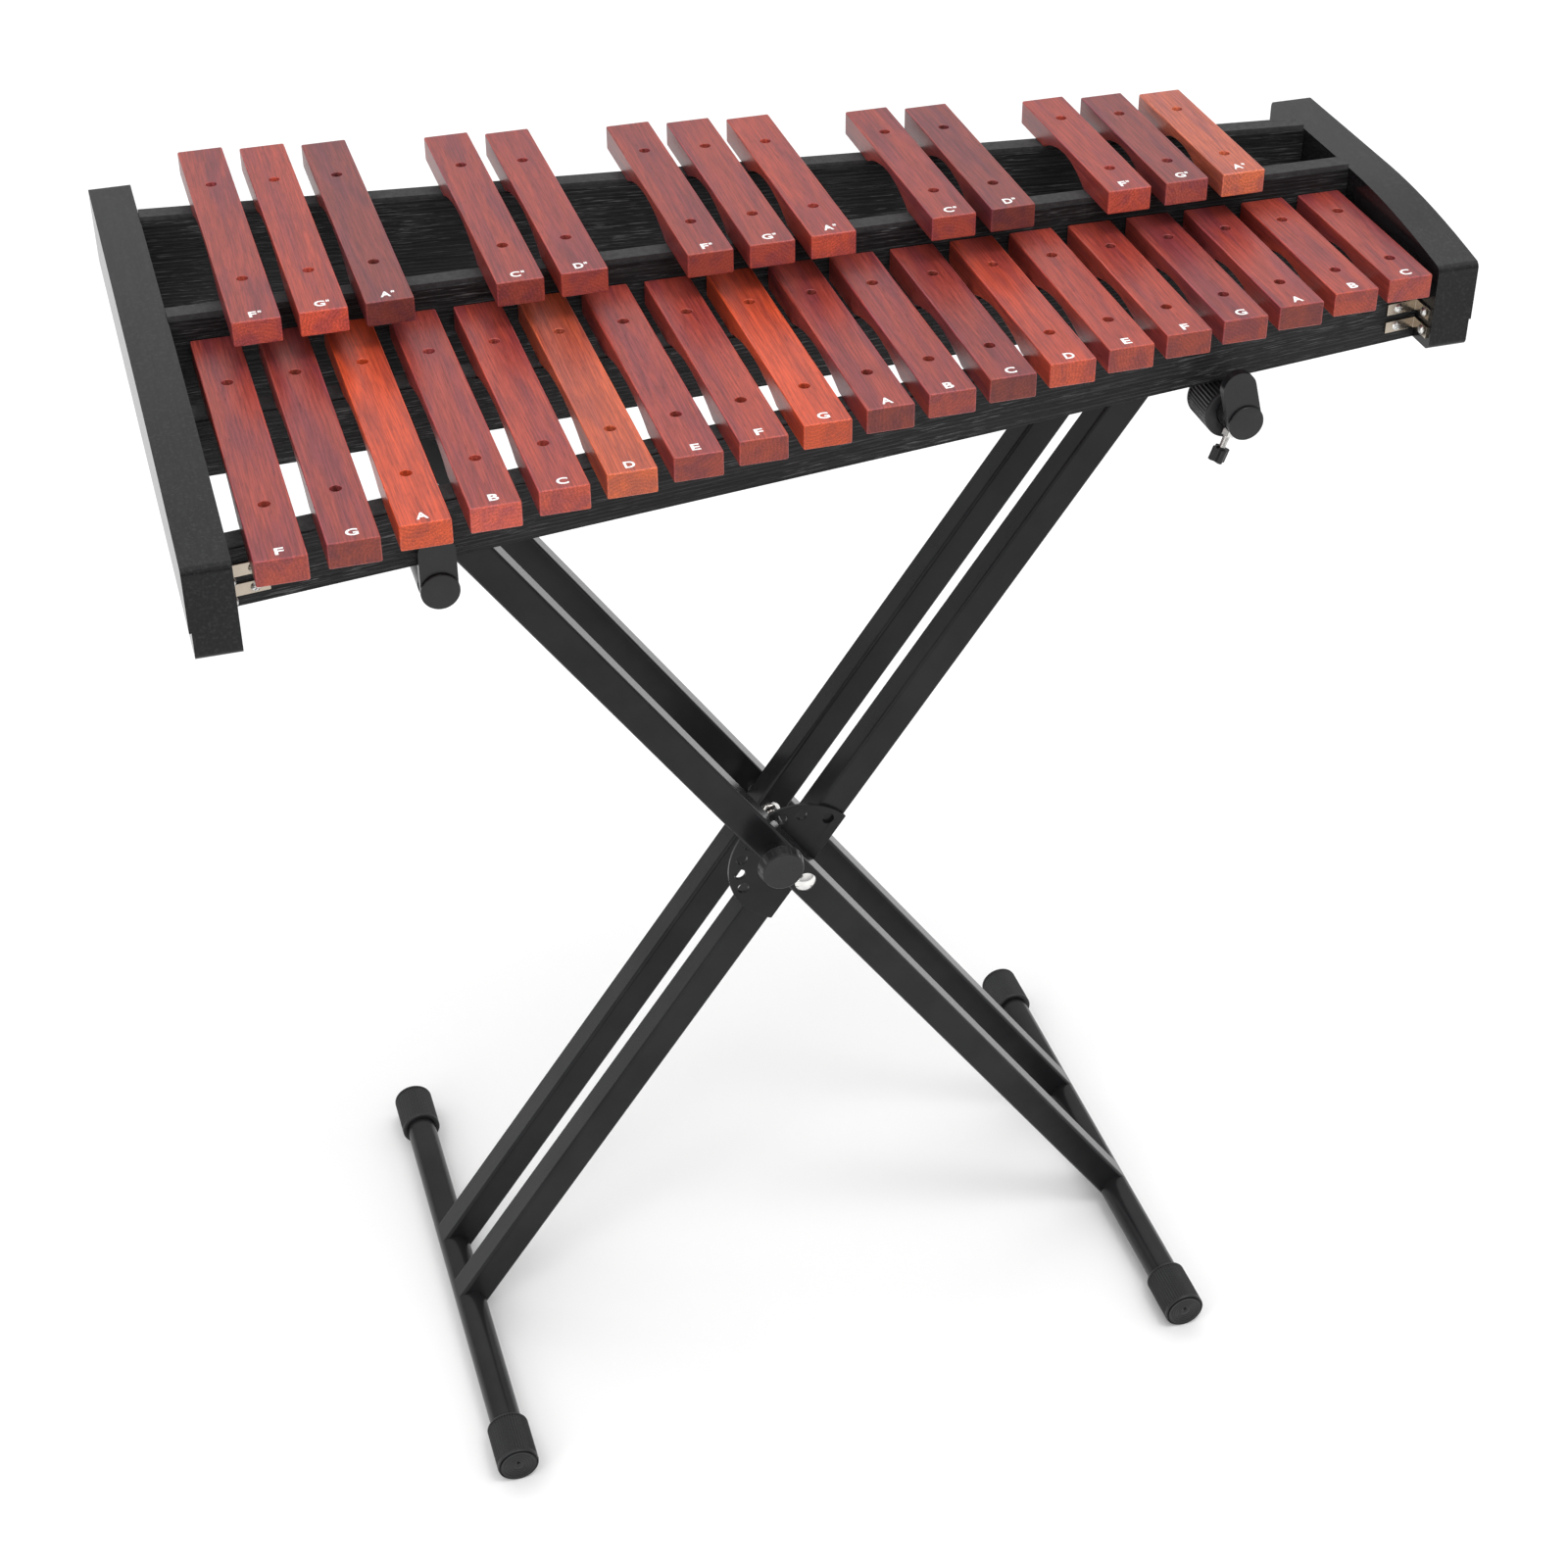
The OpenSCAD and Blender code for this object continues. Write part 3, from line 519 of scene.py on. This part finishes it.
def make_bar(row, index, tone, pick):
    node = f"{row}_bar_{index + 1:02d}"
    low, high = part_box(node)
    length, thickness, width = high.y - low.y, high.z - low.z, high.x - low.x
    longest, shortest = BAR_LENGTHS[row]
    deep, shallow = ARCHES[row]
    share = (length - shortest) / (longest - shortest)
    arch = (shallow + (deep - shallow) * share) * MM
    bm = bar_bmesh(length, thickness, width, arch)
    piece = mesh_object(f"wood_{node}", bm, WOOD, "xylophone", [node],
                        at((low.x + high.x) / 2, low.y, low.z))
    away = pick.uniform(0, 2 * math.pi)
    far = pick.uniform(0.014, 0.05)
    offset = Vector((far * math.cos(away), pick.uniform(-3, 3), far * math.sin(away)))
    yaw, pitch = pick.uniform(-0.03, 0.03), pick.uniform(-0.02, 0.02)
    lean = Matrix.Rotation(yaw, 3, "Z") @ Matrix.Rotation(pitch, 3, "X")
    centre = (low + high) / 2
    mesh = piece.data
    mesh.attributes.new("grain", "FLOAT_VECTOR", "POINT")
    mesh.attributes.new("tone", "FLOAT_COLOR", "POINT")
    mesh.attributes.new("edge", "FLOAT", "POINT")
    level = pick.uniform(0.94, 1.05)
    colour = [level * k * c for k, c in zip(TONE_SCALE, TONES[tone])]
    rgba = (*colour, END_SCALE[row] * END_LIGHT[row][index])
    places = [lean @ (v.co - centre) + offset for v in mesh.vertices]
    mesh.attributes["grain"].data.foreach_set("vector", [c for place in places for c in place])
    mesh.attributes["tone"].data.foreach_set("color", rgba * len(places))
    # Rounded-edge vertices, which the wood material lifts into a painted highlight
    edge_highlight_verts = [float(max(abs(c) for c in v.normal) < EDGE_NORMAL) for v in mesh.vertices]
    mesh.attributes["edge"].data.foreach_set("value", edge_highlight_verts)


LETTER_H = 7.8
LETTER_W = {"A": 7.4, "B": 6.3, "C": 7.4, "D": 6.9, "E": 5.8, "F": 5.6, "G": 7.7}
LETTER_GAP = 5.2


def letter_bmesh(character, width, height):
    """A bold letter as a thin solid, its foot at the origin and centred on X."""
    curve = bpy.data.curves.new("letter", "FONT")
    curve.body = character
    curve.size = 1.0
    curve.offset = 0.026
    curve.extrude = 0.01
    curve.resolution_u = 4
    holder = bpy.data.objects.new("letter", curve)
    bpy.context.scene.collection.objects.link(holder)
    bpy.context.view_layer.update()
    mesh = bpy.data.meshes.new_from_object(holder.evaluated_get(bpy.context.evaluated_depsgraph_get()))
    bpy.data.objects.remove(holder)
    xs = [v.co.x for v in mesh.vertices]
    ys = [v.co.y for v in mesh.vertices]
    sx = width * MM / (max(xs) - min(xs))
    sy = height * MM / (max(ys) - min(ys))
    for v in mesh.vertices:
        v.co = Vector(((v.co.x - (max(xs) + min(xs)) / 2) * sx, (v.co.y - min(ys)) * sy,
                       (0.1 if v.co.z > 0 else -0.1) * MM))
    bm = bmesh.new()
    bm.from_mesh(mesh)
    bpy.data.meshes.remove(mesh)
    bmesh.ops.remove_doubles(bm, verts=bm.verts, dist=0.000004)
    return bm


def sharp_sign_bmesh():
    """A small sharp sign of four strokes."""
    strokes = []
    for x in (-0.55, 0.55):
        outline = [(x - 0.22, -1.6), (x + 0.22, -1.6), (x + 0.22, 1.6), (x - 0.22, 1.6)]
        strokes.append((slab(outline, -0.1, 0.1), HERE))
    for y in (-0.55, 0.55):
        outline = [(-1.3, y - 0.5), (1.3, y - 0.05), (1.3, y + 0.5), (-1.3, y + 0.05)]
        strokes.append((slab(outline, -0.1, 0.102), HERE))
    return joined(*strokes)


def make_letters(row, letters, pick):
    parts = []
    for k, character in enumerate(letters):
        low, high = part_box(f"{row}_bar_{k + 1:02d}")
        x = (low.x + high.x) / 2 + pick.uniform(-0.7, 0.7) * MM
        y = low.y + (LETTER_GAP + pick.uniform(-0.8, 0.8)) * MM
        spin = turn("Z", pick.uniform(-1.5, 1.5))
        width = LETTER_W[character]
        if row == "sharp":
            width *= 0.92
            x -= 1.4 * MM
            beside = at(x + (width / 2 + 1.9) * MM, y + 6.6 * MM, high.z)
            parts.append((sharp_sign_bmesh(), beside @ spin))
        parts.append((letter_bmesh(character, width, LETTER_H), at(x, y, high.z) @ spin))
    mesh_object(f"{row}_note_letters", joined(*parts), INK, "xylophone", sharp=30)


for row_name, (tones, letters) in ROWS.items():
    chance = random.Random(f"{row_name} row")
    for number, tone_name in enumerate(tones):
        make_bar(row_name, number, tone_name, chance)
    make_letters(row_name, letters, chance)

# ---------------------------------------------------------------- CAD pieces that keep their shape

for rail in ("natural_front_rail", "natural_rear_rail", "sharp_front_rail", "sharp_rear_rail"):
    paint_node(rail, STAIN, 0.7)
for board in ("left_end_board", "right_end_board"):
    paint_node(board, BOARD, 2.2, edge=BOARD_EDGE)
paint_node("felt_strips", FELT)
paint_node("bar_pins", DARK_STEEL)
paint_node("pin_sleeves", RUBBER)
paint_node("corner_brackets", NICKEL, 0.3)
paint_node("bracket_screws", ZINC)
for steel in ("outer_arms", "inner_arms", "outer_crossbars", "inner_crossbars", "lock_barrel",
              "left_stop_rod", "right_stop_rod"):
    paint_node(steel, PAINT)
paint_node("lock_disc", PAINT, 0.4)
paint_node("lock_plunger", ZINC)

# ---------------------------------------------------------------- rubber caps and sleeves

RIBS = 46
BIG_RIBS = 44


def ribs(low, high, count=RIBS, depth=0.8):
    """Fine ribs along a turned piece's outside, between two heights."""
    def wave(angle, r, z):
        if r < 15.5 or not low < z < high:
            return 0.0
        return -depth * (0.5 - 0.5 * math.cos(count * angle)) ** 0.7
    return wave


def cap_profile(length, outer, bore):
    """From the dimpled, ring-moulded outer end at height 0 to the open end, then down the bore."""
    rings = []
    for k in range(4):
        r = 4.6 + 2.1 * k
        rings += [(r, 0.55), (r + 0.35, 0.95), (r + 0.75, 0.95), (r + 1.1, 0.55)]
    return [
        (0, 3.2, 0, -2.4), (1.0, 3.2, 0, -2.4), (1.25, 0.9, 0, -2.4), (1.5, 0.55, 0, -2.4), *rings,
        (12.6, 0.3), (13.2, 0.0), (outer - 2.1, 0.0), (outer - 1.8, 1.6), (outer - 1.2, 1.7),
        (outer - 0.8, 0.6), (outer - 0.15, 1.3), (outer, 2.2), (outer, 3.2),
        (outer, 3.4), (outer, length - 2.6), (outer, length - 2.4), (outer, length - 1.0),
        (outer - 0.5, length - 0.3), (outer - 1.2, length), (bore + 0.4, length), (bore, length - 0.4),
        (bore, 4.4), (0, 4.4),
    ]


def sleeve_profile(length, outer, bore):
    return [
        (bore, 0.6), (bore + 0.5, 0.0), (outer - 1.5, 0.0), (outer - 0.6, 0.35), (outer, 1.3), (outer, 2.4),
        (outer, 2.6), (outer, length - 2.6), (outer, length - 2.4), (outer, length - 1.1),
        (outer - 0.6, length - 0.3), (outer - 1.5, length), (bore + 0.5, length), (bore, length - 0.6),
    ]


def mm(value):
    return value / MM


CROSSBAR_R = 12.5
BORE_R = CROSSBAR_R + 0.03
SLEEVE_R = 16.5
CAP_LEN = 42.0


def foot_caps(x):
    """The two caps on the foot tube at this x, with a flat underneath on the floor."""
    parts = []
    for end, way in ((FOOT_FRONT, TO_REAR), (FOOT_REAR, TO_FRONT)):
        bm = lathe(cap_profile(CAP_LEN, SLEEVE_R, BORE_R), RIBS * 6, ribs(3.3, CAP_LEN - 2.5))
        parts.append((bm, at(x * MM, end, FOOT_Z) @ way))
    whole = joined(*parts)
    for v in whole.verts:
        v.co.z = max(v.co.z, 0.0)
    return whole, HERE


def rear_sleeve(x, span):
    start, stop = span
    bm = lathe(sleeve_profile(stop - start, SLEEVE_R, BORE_R), RIBS * 6, ribs(2.5, stop - start - 2.5),
               closed=True)
    return bm, at(x, start * MM, SUPPORT_Z) @ TO_REAR


OUTER_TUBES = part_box("outer_crossbars")
ROD_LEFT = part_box("left_stop_rod")
ROD_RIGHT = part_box("right_stop_rod")
OUTER_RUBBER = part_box("outer_rubber_sleeves")
INNER_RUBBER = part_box("inner_rubber_sleeves")
SUPPORT_Z = (ROD_LEFT[0].z + ROD_LEFT[1].z) / 2
LEFT_X = (ROD_LEFT[0].x + ROD_LEFT[1].x) / 2
RIGHT_X = (ROD_RIGHT[0].x + ROD_RIGHT[1].x) / 2
FOOT_Z = OUTER_TUBES[0].z + CROSSBAR_R * MM
FOOT_FRONT, FOOT_REAR = OUTER_RUBBER[0].y, OUTER_RUBBER[1].y
# Each sleeve's two ends along Y, and how far the large one's outside lies off the tube's centre
LEFT_SPAN = (168.0, 205.0)
RIGHT_SPAN = (102.0, 140.0)
PAD_SPAN, PAD_HALF = (-190.0, -177.0), 7.0
BIG_SPAN, BIG_R, BIG_SHIFT = (-131.5, -98.0), 18.5, (-2.0, 2.4)


def rest_pad():
    """The small pad between the low-note support tube and the front rail."""
    across = [PAD_HALF * (k / 6 - 1) for k in range(13)]
    outline = [(x, math.sqrt(BORE_R ** 2 - x * x)) for x in across]
    outline += [(x, math.sqrt(SLEEVE_R ** 2 - x * x)) for x in reversed(across)]
    return slab(outline, -PAD_SPAN[1], -PAD_SPAN[0], 0.5), at(LEFT_X, 0, SUPPORT_Z) @ TO_FRONT


def big_sleeve():
    """The larger sleeve at the high-note front, its outside off the tube's centre."""
    length = BIG_SPAN[1] - BIG_SPAN[0]
    profile = [(r, z) if r < BIG_R - 4 else (r, z, *BIG_SHIFT)
               for r, z in sleeve_profile(length, BIG_R, BORE_R)]
    bm = lathe(profile, BIG_RIBS * 6, ribs(3.4, length - 2.5, BIG_RIBS, 1.2), closed=True)
    return bm, at(RIGHT_X, BIG_SPAN[0] * MM, SUPPORT_Z) @ TO_REAR


# A foot tube's centre is one sleeve radius in from the end of its rubber's box
outer_rubber = joined(foot_caps(mm(OUTER_RUBBER[1].x) - SLEEVE_R), rear_sleeve(LEFT_X, LEFT_SPAN), rest_pad())
inner_rubber = joined(foot_caps(mm(INNER_RUBBER[0].x) + SLEEVE_R), rear_sleeve(RIGHT_X, RIGHT_SPAN),
                      big_sleeve())
mesh_object("outer_ribbed_rubber", outer_rubber, RUBBER, "outer_frame", ["outer_rubber_sleeves"], sharp=60)
mesh_object("inner_ribbed_rubber", inner_rubber, RUBBER, "inner_frame", ["inner_rubber_sleeves"], sharp=60)

# ---------------------------------------------------------------- the stops and their thumb screws


def stadium(radius, top, steps=20):
    """A round-ended outline from a circle at the origin up to a circle at y = top."""
    points = []
    for k in range(steps + 1):
        a = math.pi + math.pi * k / steps
        points.append((radius * math.cos(a), radius * math.sin(a)))
    for k in range(steps + 1):
        a = math.pi * k / steps
        points.append((radius * math.cos(a), top + radius * math.sin(a)))
    return points


PADDLE_R, PADDLE_RISE, PADDLE_T = 12.0, 27.0, 6.2


def stop_pad(side, x, lean):
    """A paddle with a round boss over the end of its rod."""
    node = f"{side}_stop_pad"
    paddle = slab(stadium(PADDLE_R, PADDLE_RISE), 0.0, PADDLE_T, 0.8, 3)
    boss = lathe([(0, 5.4), (12.4, 5.4), (12.6, 6.2), (12.6, 7.5), (12.3, 8.1), (11.7, 8.4), (0, 8.4)], 72)
    # Local +Y becomes up, and +Z becomes the player's side
    matrix = at(x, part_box(node)[1].y, SUPPORT_Z) @ turn("Y", -lean) @ TO_FRONT
    mesh_object(f"{side}_stop_paddle", joined((paddle, HERE), (boss, HERE)), PLASTIC, f"{side}_stop", [node],
                matrix, sharp=60)


stop_pad("left", LEFT_X, 0)
stop_pad("right", RIGHT_X, 14)


def hexagon(radius):
    corners = [math.radians(60 * k) for k in range(6)]
    return [(radius * math.cos(a), radius * math.sin(a)) for a in corners]


def lobed(radius, depth, lobes, steps=96):
    points = []
    for k in range(steps):
        a = 2 * math.pi * k / steps
        r = radius - depth * (0.5 - 0.5 * math.cos(lobes * a)) ** 1.4
        points.append((r * math.cos(a), r * math.sin(a)))
    return points


def threaded(radius, low, high, pitch=0.9, depth=0.28):
    profile = [(0, low), (radius - depth, low)]
    z = low
    while z + pitch < high:
        profile += [(radius, z + 0.45 * pitch), (radius, z + 0.6 * pitch), (radius - depth, z + pitch)]
        z += pitch
    return profile + [(radius - depth, high), (0, high)]


def thumb_screw(side, x, y, lean, frame_body):
    """A threaded shank with a lobed knob, and the zinc nut on the tube that it turns in."""
    screw_body = f"{side}_thumb"
    matrix = at(x, y * MM, SUPPORT_Z) @ turn("Y", 180 - lean)
    mesh_object(f"{side}_thumb_shank", lathe(threaded(2.5, 11.0, 27.5), 32), ZINC, screw_body,
                matrix=matrix, sharp=70)
    knob = slab(lobed(6.4, 2.1, 4), 27.0, 36.5, 0.7, 3)
    collar = lathe([(0, 25.8), (3.0, 25.8), (3.5, 26.3), (3.6, 27.4), (0, 27.4)], 40)
    mesh_object(f"{side}_thumb_knob", joined((knob, HERE), (collar, HERE)), PLASTIC, screw_body,
                [f"{side}_thumb_screw"], matrix, sharp=60)
    nut = slab(hexagon(4.75), 12.2, 16.7, 0.35)
    mesh_object(f"{side}_thumb_nut", nut, ZINC, frame_body, matrix=matrix, sharp=40)


thumb_screw("left", LEFT_X, -148.0, 90, "outer_frame")
thumb_screw("right", RIGHT_X, -136.5, -20, "inner_frame")

# ---------------------------------------------------------------- pivot and lock

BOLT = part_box("pivot_bolt")
PIVOT = (BOLT[0] + BOLT[1]) / 2
HEAD_H = 4.0
FRONT_FACE = BOLT[0].y + HEAD_H * MM
REAR_FACE = BOLT[1].y - HEAD_H * MM
# Half the clear gap between the front pair of arms and the rear pair
HALF_GAP = 22.3
NUT_AT = mm(PIVOT.y - FRONT_FACE) - HALF_GAP


def dome(radius, height, steps=9):
    sphere = (radius * radius + height * height) / (2 * height)
    points = []
    for k in range(steps):
        r = radius * (1 - k / steps)
        points.append((r, height - sphere + math.sqrt(sphere * sphere - r * r)))
    return [(0, -0.6), (radius - 0.4, -0.6), (radius, -0.2)] + points + [(0, height)]


def bolt(name, matrix, past_nut, nodes=()):
    """A dome head on z = 0, a flanged nut on the arms' inner side, and a shank that ends past it."""
    head = lathe(dome(8.4, HEAD_H), 64)
    stem = lathe(threaded(4.0, -NUT_AT - past_nut, -0.3), 32)
    nut = slab(hexagon(7.2), -NUT_AT - 6.2, -NUT_AT - 0.8, 0.5)
    flange = lathe([(0, -NUT_AT - 1.6), (7.0, -NUT_AT - 1.6), (8.6, -NUT_AT - 0.7), (8.6, -NUT_AT),
                    (0, -NUT_AT)], 48)
    mesh_object(name, joined((head, HERE), (stem, HERE), (nut, HERE), (flange, HERE)), CHROME,
                "outer_frame", nodes, matrix, sharp=40)


bolt("front_pivot_bolt", at(PIVOT.x, FRONT_FACE, PIVOT.z) @ TO_FRONT, 8.2, ["pivot_bolt"])
bolt("rear_pivot_bolt", at(PIVOT.x, REAR_FACE, PIVOT.z) @ TO_REAR, 9.0)
mesh_object("pivot_washer", lathe([(4.1, -1.9), (10, -1.9), (10, 1.9), (4.1, 1.9)], 48, closed=True), ZINC,
            "outer_frame", matrix=at(PIVOT.x, PIVOT.y + 48.4 * MM, PIVOT.z) @ TO_FRONT)
cap = lathe([(0, 0), (3.4, 0), (4.3, 0.5), (4.7, 1.4), (4.8, 3), (4.8, 14.2), (0, 14.2)], 40)
mesh_object("rear_bolt_cap", cap, PLASTIC, "outer_frame",
            matrix=at(PIVOT.x, PIVOT.y, PIVOT.z) @ TO_REAR, sharp=60)


def knob_wave(angle, r, z):
    """Shallow flutes round the pull knob's side."""
    if r < 15 or not 1.4 < z < 8.4:
        return 0.0
    return -0.8 * max(0.0, math.cos(12 * angle)) ** 0.6


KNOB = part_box("lock_knob")
knob_x, knob_z = (KNOB[0].x + KNOB[1].x) / 2, (KNOB[0].z + KNOB[1].z) / 2
knob = lathe([(0, 0), (16.6, 0), (17.6, 0.3), (18.0, 0.9), (17.85, 1.35), (17.8, 1.6), (16.3, 8.2),
              (16.2, 8.5), (15.9, 9.1), (15.2, 9.5), (14.4, 9.4), (13.8, 9.2), (0, 9.2)], 120, knob_wave)
mesh_object("pull_knob", knob, PLASTIC, "lock_pull", ["lock_knob"],
            at(knob_x, KNOB[1].y, knob_z) @ TO_FRONT, sharp=50)

# ---------------------------------------------------------------- floor, light and camera


def make_floor():
    g = Graph("pale_floor", Roughness=0.9, Specular_IOR_Level=0.1)
    soft = g.noise(g.coords(), 0.8, 2, 0.5)
    g.set("Base Color", g.mix(g.fit(soft, 0.3, 0.7), (0.90, 0.90, 0.90), (0.92, 0.92, 0.92)))
    bm = bmesh.new()
    bmesh.ops.create_circle(bm, cap_ends=True, segments=96, radius=30)
    mesh = bpy.data.meshes.new("floor")
    bm.to_mesh(mesh)
    bm.free()
    mesh.materials.append(g.material)
    floor = bpy.data.objects.new("floor", mesh)
    bpy.context.scene.collection.objects.link(floor)


def make_light(name, position, target, size, radiance):
    """A rectangular soft box of this size, aimed at the target."""
    lamp = bpy.data.lights.new(name, "AREA")
    lamp.shape = "RECTANGLE"
    lamp.size, lamp.size_y = size
    lamp.energy = radiance * math.pi * size[0] * size[1]
    holder = bpy.data.objects.new(name, lamp)
    holder.location = position
    aim = Vector(target) - Vector(position)
    holder.rotation_mode = "QUATERNION"
    holder.rotation_quaternion = aim.to_track_quat("-Z", "Y")
    bpy.context.scene.collection.objects.link(holder)


# The white studio's brightness at the horizon and overhead
HORIZON, ZENITH = 0.36, 0.98


def make_world():
    world = bpy.data.worlds.new("studio")
    bpy.context.scene.world = world
    world.use_nodes = True
    tree = world.node_tree
    where = tree.nodes.new("ShaderNodeTexCoord")
    split = tree.nodes.new("ShaderNodeSeparateXYZ")
    level = tree.nodes.new("ShaderNodeMapRange")
    for socket, value in zip(level.inputs[1:5], (0.0, 0.5, HORIZON, ZENITH)):
        socket.default_value = value
    tree.links.new(where.outputs["Generated"], split.inputs[0])
    tree.links.new(split.outputs[2], level.inputs[0])
    tree.links.new(level.outputs[0], tree.nodes["Background"].inputs[1])
    tree.nodes["Background"].inputs[0].default_value = (1, 1, 1, 1)
    bpy.context.scene.view_settings.view_transform = "Standard"


def make_camera():
    """The photograph's own camera, solved from the object's outline."""
    yaw, pitch, roll = 0.2785, 0.6239, -0.012
    forward = Vector((math.sin(yaw) * math.cos(pitch), math.cos(yaw) * math.cos(pitch), -math.sin(pitch)))
    level = Vector((math.cos(yaw), -math.sin(yaw), 0))
    rise = level.cross(forward)
    right = level * math.cos(roll) + rise * math.sin(roll)
    up = rise * math.cos(roll) - level * math.sin(roll)
    camera = bpy.data.cameras.new("camera")
    camera.sensor_width = 36
    camera.lens = 36 * 2875 / 1600
    camera.shift_x = 0.0184
    camera.shift_y = -0.0051
    camera.clip_start, camera.clip_end = 0.05, 100
    holder = bpy.data.objects.new("camera", camera)
    turned = Matrix((right, up, -forward)).transposed().to_4x4()
    turned.translation = (-0.5155, -1.6833, 1.7463)
    holder.matrix_world = turned
    bpy.context.scene.collection.objects.link(holder)
    bpy.context.scene.camera = holder


make_floor()
make_world()
make_light("overhead", (0, 0.6, 5.2), (0, 0.6, 0), (8, 8), 0.62)
make_light("key", (0.7, -1.1, 3.6), (0, 0, 0.8), (1.0, 1.0), 6.6)
make_light("side", (-2.6, -1.7, 1.3), (0, 0, 0.7), (0.7, 1.8), 3.4)
make_camera()
